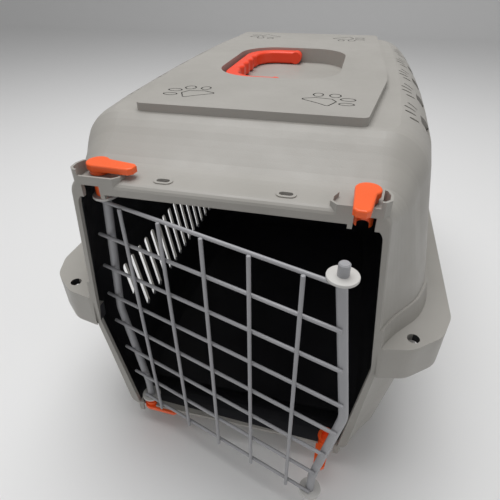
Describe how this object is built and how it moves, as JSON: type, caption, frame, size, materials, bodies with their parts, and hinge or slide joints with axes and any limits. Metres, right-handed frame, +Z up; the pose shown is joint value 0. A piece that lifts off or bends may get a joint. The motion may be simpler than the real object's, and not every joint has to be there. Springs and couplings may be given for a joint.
{
  "type": "pet transport carrier",
  "caption": "Rigid plastic pet carrier with flanged upper and lower shells, vented walls, a wire door held on pins by twist latches, and a folding roof handle.",
  "frame": {"origin": "centre of the carrier's base, on the surface it stands on; shells are centred on it in X and Y", "axes": "+Z up, front with the door towards -Y, +X to the viewer's right when facing the door"},
  "size_m": [0.334, 0.5288, 0.32],
  "materials": {
    "shell_plastic": "matte, fine grain",
    "coated_wire": "satin coating",
    "washer_plastic": "satin",
    "latch_plastic": "satin",
    "handle_plastic": "satin"
  },
  "bodies": {
    "carrier": {"upper_shell": "shell_plastic", "lower_shell": "shell_plastic"},
    "door": {"door_hinge_rod": "coated_wire", "door_closing_rod": "coated_wire", "door_cross_wire_1": "coated_wire", "door_cross_wire_2": "coated_wire", "door_cross_wire_3": "coated_wire", "door_cross_wire_4": "coated_wire", "door_cross_wire_5": "coated_wire", "door_cross_wire_6": "coated_wire", "door_cross_wire_7": "coated_wire", "door_cross_wire_8": "coated_wire", "door_upright_wire_1": "coated_wire", "door_upright_wire_2": "coated_wire", "door_upright_wire_3": "coated_wire", "door_upright_wire_4": "coated_wire", "door_upright_wire_5": "coated_wire", "door_washer_hinge_upper": "washer_plastic", "door_washer_hinge_lower": "washer_plastic", "door_washer_closing_upper": "washer_plastic", "door_washer_closing_lower": "washer_plastic"},
    "upper_left_latch": {"latch_upper_left": "latch_plastic"},
    "upper_right_latch": {"latch_upper_right": "latch_plastic"},
    "lower_left_latch": {"latch_lower_left": "latch_plastic"},
    "lower_right_latch": {"latch_lower_right": "latch_plastic"},
    "handle": {"carry_handle": "handle_plastic"}
  },
  "joints": [
    {"name": "door_swing", "type": "hinge", "parent": "carrier", "child": "door", "pos_m": [-0.0885, -0.225, 0.15], "axis": [0, 0, -1], "range_deg": [-17.8, 78]},
    {"name": "upper_left_latch_turn", "type": "hinge", "parent": "carrier", "child": "upper_left_latch", "pos_m": [-0.0885, -0.225, 0.15], "axis": [0, 0, -1], "range_deg": [0, 86]},
    {"name": "upper_right_latch_turn", "type": "hinge", "parent": "carrier", "child": "upper_right_latch", "pos_m": [0.0885, -0.225, 0.15], "axis": [0, 0, -1], "range_deg": [0, 80]},
    {"name": "lower_left_latch_turn", "type": "hinge", "parent": "carrier", "child": "lower_left_latch", "pos_m": [-0.0885, -0.225, 0.15], "axis": [0, 0, -1], "range_deg": [0, 86]},
    {"name": "lower_right_latch_turn", "type": "hinge", "parent": "carrier", "child": "lower_right_latch", "pos_m": [0.0885, -0.225, 0.15], "axis": [0, 0, -1], "range_deg": [0, 80]},
    {"name": "handle_fold", "type": "hinge", "parent": "carrier", "child": "handle", "pos_m": [0, -0.0015, 0.3116], "axis": [0, 1, 0], "range_deg": [0, 180]}
  ]
}
